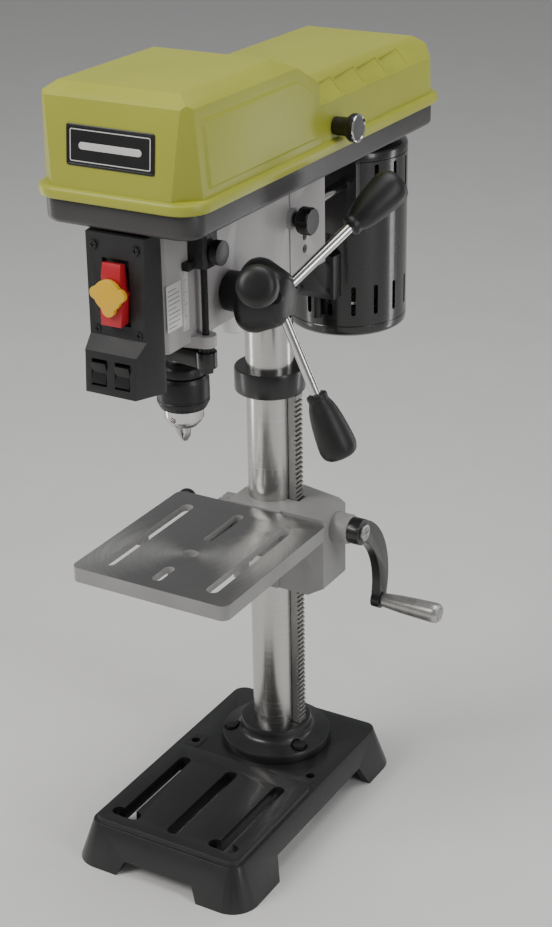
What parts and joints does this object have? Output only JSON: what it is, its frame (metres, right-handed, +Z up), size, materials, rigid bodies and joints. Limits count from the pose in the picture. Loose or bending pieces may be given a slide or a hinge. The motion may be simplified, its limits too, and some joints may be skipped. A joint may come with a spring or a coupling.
{
  "type": "bench drill press",
  "caption": "Bench drill press: slotted base, round column with rack, tilting table with crank, belt drive head under a hinged hood, three arm feed and keyed chuck.",
  "frame": {"origin": "the column's axis where it meets the bench", "axes": "+Z up, the front of the machine and the operator are towards -Y, the operator's right is +X"},
  "size_m": [0.2955, 0.474, 0.766],
  "materials": {
    "base": "satin black paint over a sand casting",
    "column_flange": "satin black paint",
    "flange_bolts": "black oxide",
    "column": "ground and polished tube",
    "rack_ring": "satin black paint",
    "set_screws": "black oxide",
    "head_casting": "light grey satin paint",
    "work_light": "translucent white",
    "head_bearing": "ground",
    "spring_cap": "satin black",
    "return_spring": "blued spring steel",
    "head_plates": "plain plates without lettering",
    "belt_tray": "dark grey satin paint",
    "housing_screws": "black",
    "hinge_pins": "plain",
    "switch_box": "fine texture",
    "v_belt": "cloth backed",
    "rack": "milled, lightly oiled",
    "table_bracket": "grey paint over a casting",
    "bracket_bolts": "zinc plated",
    "worm_shaft": "machined",
    "crank_arm": "satin black",
    "crank_fasteners": "zinc plated",
    "crank_grip": "grey moulded",
    "rack_gear": "machined",
    "table": "face turned top, painted edge",
    "tilt_scale": "plain plate",
    "clamp_lever": "black moulded",
    "quill": "ground",
    "quill_bearings": "ground",
    "quill_collar": "satin black casting",
    "quill_fasteners": "black oxide",
    "stop_rod": "black oxide thread",
    "stop_block": "black moulded",
    "spindle": "ground",
    "chuck_body": "polished",
    "chuck_sleeve": "black oxide",
    "jaw_1": "ground",
    "jaw_2": "ground",
    "jaw_3": "ground",
    "spindle_pulley": "as machined",
    "feed_shaft": "machined",
    "feed_hub": "black moulded",
    "feed_rods": "plated",
    "feed_grips": "black moulded",
    "motor_housing": "black enamel",
    "motor_core": "stacked laminations",
    "motor_plate": "black enamel",
    "slide_bars": "plated",
    "wiring_box": "black moulded",
    "motor_shaft": "ground",
    "motor_pulley": "as machined",
    "tension_knob": "black moulded",
    "cover": "yellow-green satin enamel",
    "cover_knob": "black moulded",
    "name_plate": "blank",
    "switch_paddle": "red moulded",
    "switch_key": "yellow moulded",
    "rocker_left": "black moulded",
    "rocker_right": "black moulded"
  },
  "bodies": {
    "stand": {"base": "base", "column_flange": "column_flange", "flange_bolts": "flange_bolts", "column": "column", "rack_ring": "rack_ring", "set_screws": "set_screws", "head_casting": "head_casting", "work_light": "work_light", "head_bearing": "head_bearing", "spring_cap": "spring_cap", "return_spring": "return_spring", "head_plates": "head_plates", "belt_tray": "belt_tray", "housing_screws": "housing_screws", "hinge_pins": "hinge_pins", "switch_box": "switch_box", "v_belt": "v_belt"},
    "rack_body": {"rack": "rack"},
    "table_carrier": {"table_bracket": "table_bracket", "bracket_bolts": "bracket_bolts"},
    "crank": {"worm_shaft": "worm_shaft", "crank_arm": "crank_arm", "crank_fasteners": "crank_fasteners"},
    "crank_handle": {"crank_grip": "crank_grip"},
    "lift_gear": {"rack_gear": "rack_gear"},
    "table_body": {"table": "table", "tilt_scale": "tilt_scale"},
    "clamp": {"clamp_lever": "clamp_lever"},
    "quill_body": {"quill": "quill", "quill_bearings": "quill_bearings", "quill_collar": "quill_collar", "quill_fasteners": "quill_fasteners", "stop_rod": "stop_rod"},
    "stop": {"stop_block": "stop_block"},
    "spindle_body": {"spindle": "spindle", "chuck_body": "chuck_body"},
    "sleeve": {"chuck_sleeve": "chuck_sleeve"},
    "jaw_a": {"jaw_1": "jaw_1"},
    "jaw_b": {"jaw_2": "jaw_2"},
    "jaw_c": {"jaw_3": "jaw_3"},
    "drive_pulley": {"spindle_pulley": "spindle_pulley"},
    "feed": {"feed_shaft": "feed_shaft", "feed_hub": "feed_hub", "feed_rods": "feed_rods", "feed_grips": "feed_grips"},
    "motor": {"motor_housing": "motor_housing", "motor_core": "motor_core", "motor_plate": "motor_plate", "slide_bars": "slide_bars", "wiring_box": "wiring_box"},
    "rotor": {"motor_shaft": "motor_shaft", "motor_pulley": "motor_pulley"},
    "tension": {"tension_knob": "tension_knob"},
    "hood": {"cover": "cover", "cover_knob": "cover_knob", "name_plate": "name_plate"},
    "paddle": {"switch_paddle": "switch_paddle"},
    "key": {"switch_key": "switch_key"},
    "rocker_a": {"rocker_left": "rocker_left"},
    "rocker_b": {"rocker_right": "rocker_right"}
  },
  "joints": [
    {"name": "table_swing", "type": "hinge", "parent": "stand", "child": "rack_body", "pos_m": [0, 0, 0.3], "axis": [0, 0, 1], "range_deg": [-60, 60]},
    {"name": "table_lift", "type": "slide", "parent": "rack_body", "child": "table_carrier", "axis": [0, 0, 1], "range_m": [-0.135, 0.035]},
    {"name": "gear_turn", "type": "hinge", "parent": "table_carrier", "child": "lift_gear", "pos_m": [0.047, 0, 0.281], "axis": [0, 1, 0], "range_deg": [-200, 650]},
    {"name": "crank_turn", "type": "hinge", "parent": "table_carrier", "child": "crank", "pos_m": [0.1, -0.008, 0.306], "axis": [1, 0, 0], "range_deg": [-9800, 2600]},
    {"name": "crank_grip_spin", "type": "hinge", "parent": "crank", "child": "crank_handle", "pos_m": [0.13, 0.039, 0.21], "axis": [1, 0, 0], "continuous": true},
    {"name": "table_tilt", "type": "hinge", "parent": "table_carrier", "child": "table_body", "pos_m": [0, -0.045, 0.285], "axis": [0, 1, 0], "range_deg": [-45, 45]},
    {"name": "clamp_turn", "type": "hinge", "parent": "table_carrier", "child": "clamp", "pos_m": [-0.05, 0.02, 0.276], "axis": [0, 1, 0], "range_deg": [-35, 60]},
    {"name": "quill_feed", "type": "slide", "parent": "stand", "child": "quill_body", "axis": [0, 0, 1], "range_m": [-0.06, 0], "stiffness_N_per_m": 120, "springref_m": 0.4},
    {"name": "feed_turn", "type": "hinge", "parent": "stand", "child": "feed", "pos_m": [0.06, -0.121, 0.572], "axis": [1, 0, 0], "range_deg": [-10, 410]},
    {"name": "stop_slide", "type": "slide", "parent": "quill_body", "child": "stop", "axis": [0, 0, -1], "range_m": [0, 0.055]},
    {"name": "spindle_spin", "type": "hinge", "parent": "quill_body", "child": "spindle_body", "pos_m": [0, -0.15, 0.55], "axis": [0, 0, 1], "continuous": true},
    {"name": "chuck_turn", "type": "hinge", "parent": "spindle_body", "child": "sleeve", "pos_m": [0, -0.15, 0.48], "axis": [0, 0, 1], "range_deg": [0, 350]},
    {"name": "jaw_a_slide", "type": "slide", "parent": "spindle_body", "child": "jaw_a", "axis": [0, 0.1736, 0.9848], "range_m": [0, 0.0095]},
    {"name": "jaw_b_slide", "type": "slide", "parent": "spindle_body", "child": "jaw_b", "axis": [-0.1504, -0.0868, 0.9848], "range_m": [0, 0.0095]},
    {"name": "jaw_c_slide", "type": "slide", "parent": "spindle_body", "child": "jaw_c", "axis": [0.1504, -0.0868, 0.9848], "range_m": [0, 0.0095]},
    {"name": "pulley_spin", "type": "hinge", "parent": "stand", "child": "drive_pulley", "pos_m": [0, -0.15, 0.69], "axis": [0, 0, 1], "continuous": true},
    {"name": "motor_slide", "type": "slide", "parent": "stand", "child": "motor", "axis": [0, 1, 0], "range_m": [-0.01, 0]},
    {"name": "motor_spin", "type": "hinge", "parent": "motor", "child": "rotor", "pos_m": [0, 0.157, 0.55], "axis": [0, 0, 1], "continuous": true},
    {"name": "tension_turn", "type": "hinge", "parent": "stand", "child": "tension", "pos_m": [0.05, -0.028, 0.612], "axis": [1, 0, 0], "range_deg": [-90, 90]},
    {"name": "cover_open", "type": "hinge", "parent": "stand", "child": "hood", "pos_m": [-0.086, 0, 0.676], "axis": [0, -1, 0], "range_deg": [0, 95]},
    {"name": "paddle_rock", "type": "hinge", "parent": "stand", "child": "paddle", "pos_m": [0, -0.24, 0.602], "axis": [1, 0, 0], "range_deg": [-4, 4]},
    {"name": "key_pull", "type": "slide", "parent": "paddle", "child": "key", "axis": [0, -1, 0], "range_m": [0, 0.025]},
    {"name": "rocker_left_tip", "type": "hinge", "parent": "stand", "child": "rocker_a", "pos_m": [-0.0115, -0.248, 0.535], "axis": [1, 0, 0], "range_deg": [-7, 7]},
    {"name": "rocker_right_tip", "type": "hinge", "parent": "stand", "child": "rocker_b", "pos_m": [0.0115, -0.248, 0.535], "axis": [1, 0, 0], "range_deg": [-7, 7]}
  ],
  "couplings": [
    {"joint": "gear_turn", "follows": "table_lift", "rad_per_m": -78.54},
    {"joint": "crank_turn", "follows": "table_lift", "rad_per_m": 1256.6},
    {"joint": "feed_turn", "follows": "quill_feed", "rad_per_m": -116.36},
    {"joint": "jaw_a_slide", "follows": "chuck_turn", "m_per_rad": 0.0015},
    {"joint": "jaw_b_slide", "follows": "chuck_turn", "m_per_rad": 0.0015},
    {"joint": "jaw_c_slide", "follows": "chuck_turn", "m_per_rad": 0.0015},
    {"joint": "pulley_spin", "follows": "spindle_spin", "ratio": 1},
    {"joint": "motor_spin", "follows": "spindle_spin", "ratio": 1}
  ]
}
